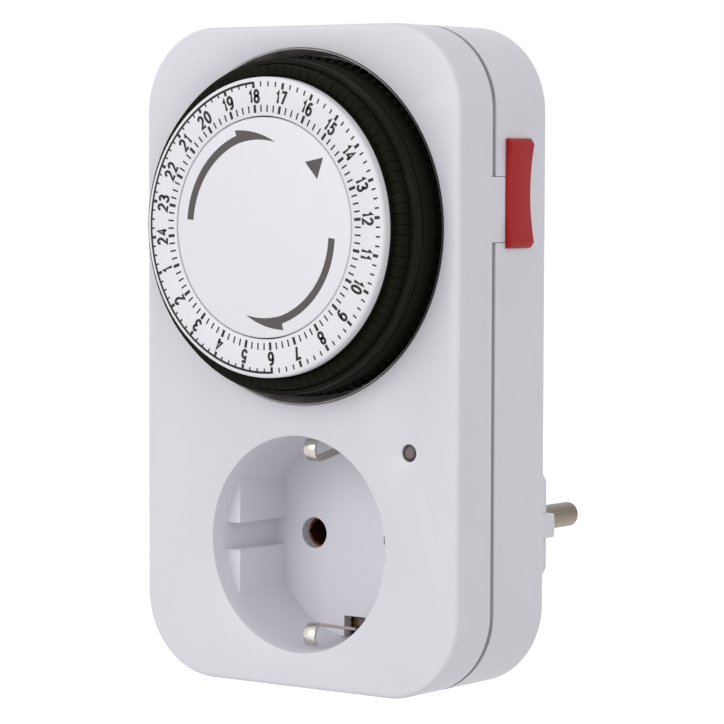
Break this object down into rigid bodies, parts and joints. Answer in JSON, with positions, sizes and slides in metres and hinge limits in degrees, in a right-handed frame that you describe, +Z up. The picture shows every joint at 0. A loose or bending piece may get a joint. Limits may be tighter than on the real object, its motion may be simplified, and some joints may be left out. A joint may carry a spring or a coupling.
{
  "type": "plug in timer switch",
  "caption": "Plug-in 24 hour timer switch with a turning dial of push-in segments, an earthed socket in front, a side slide and an earthed round plug behind.",
  "frame": {"origin": "centre of the plug's flat face, midway between the two plug pins", "axes": "+X towards the side with the slide, +Y into the wall along the pins, +Z up"},
  "size_m": [0.0727, 0.0859, 0.12],
  "materials": {
    "housing_white": "glossy",
    "dial_black": "glossy",
    "segment_black": "glossy",
    "print_white": "glossy",
    "slide_red": "glossy",
    "plate_grey": "matt",
    "gear_natural": "matt",
    "switch_black": "matt",
    "carrier_cream": "matt",
    "steel": "zinc plated",
    "brass": "bright",
    "nickel": "nickel plated",
    "copper": "enamelled",
    "lens_red": "translucent",
    "bulb_glass": "clear",
    "resistor_body": "painted",
    "wire_brown": "matt",
    "wire_black": "matt",
    "wire_blue": "matt"
  },
  "bodies": {
    "housing": {"front_shell": "housing_white", "rear_shell": "housing_white", "housing_screws": "steel", "dial_collar": "dial_black", "centre_disc": "print_white", "movement_plate": "plate_grey", "plate_screws": "steel", "idler_stud": "steel", "motor_case": "steel", "motor_gearhead": "gear_natural", "motor_coil": "copper", "motor_screws": "steel", "lever_pin": "steel", "microswitch_body": "switch_black", "microswitch_terminals": "nickel", "microswitch_screws": "steel", "contact_carrier": "carrier_cream", "socket_sleeve_left": "brass", "socket_sleeve_right": "brass", "plug_pin_left": "nickel", "plug_pin_right": "nickel", "earth_clip_strap": "nickel", "earth_plug_strap": "brass", "earth_rivet": "brass", "lamp_lens": "lens_red", "neon_bulb": "bulb_glass", "lamp_resistor": "resistor_body", "lamp_leads": "wire_black", "line_wire": "wire_brown", "switched_wire": "wire_black", "motor_leads": "wire_blue"},
    "dial": {"dial_drum": "dial_black", "numeral_ring": "print_white", "segments": "segment_black"},
    "segment_1": {"segment_1": "segment_black"},
    "segment_2": {"segment_2": "segment_black"},
    "segment_3": {"segment_3": "segment_black"},
    "segment_4": {"segment_4": "segment_black"},
    "idler": {"idler_gear": "gear_natural"},
    "motor_shaft": {"motor_pinion": "gear_natural"},
    "override": {"override_cap": "slide_red", "override_carrier": "gear_natural"},
    "lever": {"feeler_lever": "gear_natural"},
    "plunger": {"microswitch_plunger": "slide_red"}
  },
  "joints": [
    {"name": "dial_turn", "type": "hinge", "parent": "housing", "child": "dial", "pos_m": [0, -0.06, 0.0576], "axis": [0, 1, 0], "continuous": true},
    {"name": "idler_turn", "type": "hinge", "parent": "housing", "child": "idler", "pos_m": [-0.01273, -0.053, 0.07033], "axis": [0, 1, 0], "continuous": true},
    {"name": "motor_turn", "type": "hinge", "parent": "housing", "child": "motor_shaft", "pos_m": [-0.01077, -0.052, 0.05798], "axis": [0, 1, 0], "continuous": true},
    {"name": "override_slide", "type": "slide", "parent": "housing", "child": "override", "axis": [0, 0, -1], "range_m": [0, 0.0057]},
    {"name": "lever_tilt", "type": "hinge", "parent": "housing", "child": "lever", "pos_m": [0.0273, -0.047, 0.0455], "axis": [-1, 0, 0], "range_deg": [0, 4.7]},
    {"name": "plunger_press", "type": "slide", "parent": "housing", "child": "plunger", "axis": [0, 1, 0], "range_m": [0, 0.00085]},
    {"name": "segment_1_press", "type": "slide", "parent": "dial", "child": "segment_1", "axis": [0, 1, 0], "range_m": [0, 0.002]},
    {"name": "segment_2_press", "type": "slide", "parent": "dial", "child": "segment_2", "axis": [0, 1, 0], "range_m": [0, 0.002]},
    {"name": "segment_3_press", "type": "slide", "parent": "dial", "child": "segment_3", "axis": [0, 1, 0], "range_m": [0, 0.002]},
    {"name": "segment_4_press", "type": "slide", "parent": "dial", "child": "segment_4", "axis": [0, 1, 0], "range_m": [0, 0.002]}
  ],
  "couplings": [
    {"joint": "idler_turn", "follows": "dial_turn", "ratio": 6},
    {"joint": "motor_turn", "follows": "dial_turn", "ratio": -24},
    {"joint": "lever_tilt", "follows": "override_slide", "rad_per_m": 14.085},
    {"joint": "plunger_press", "follows": "override_slide", "ratio": 0.14035}
  ]
}
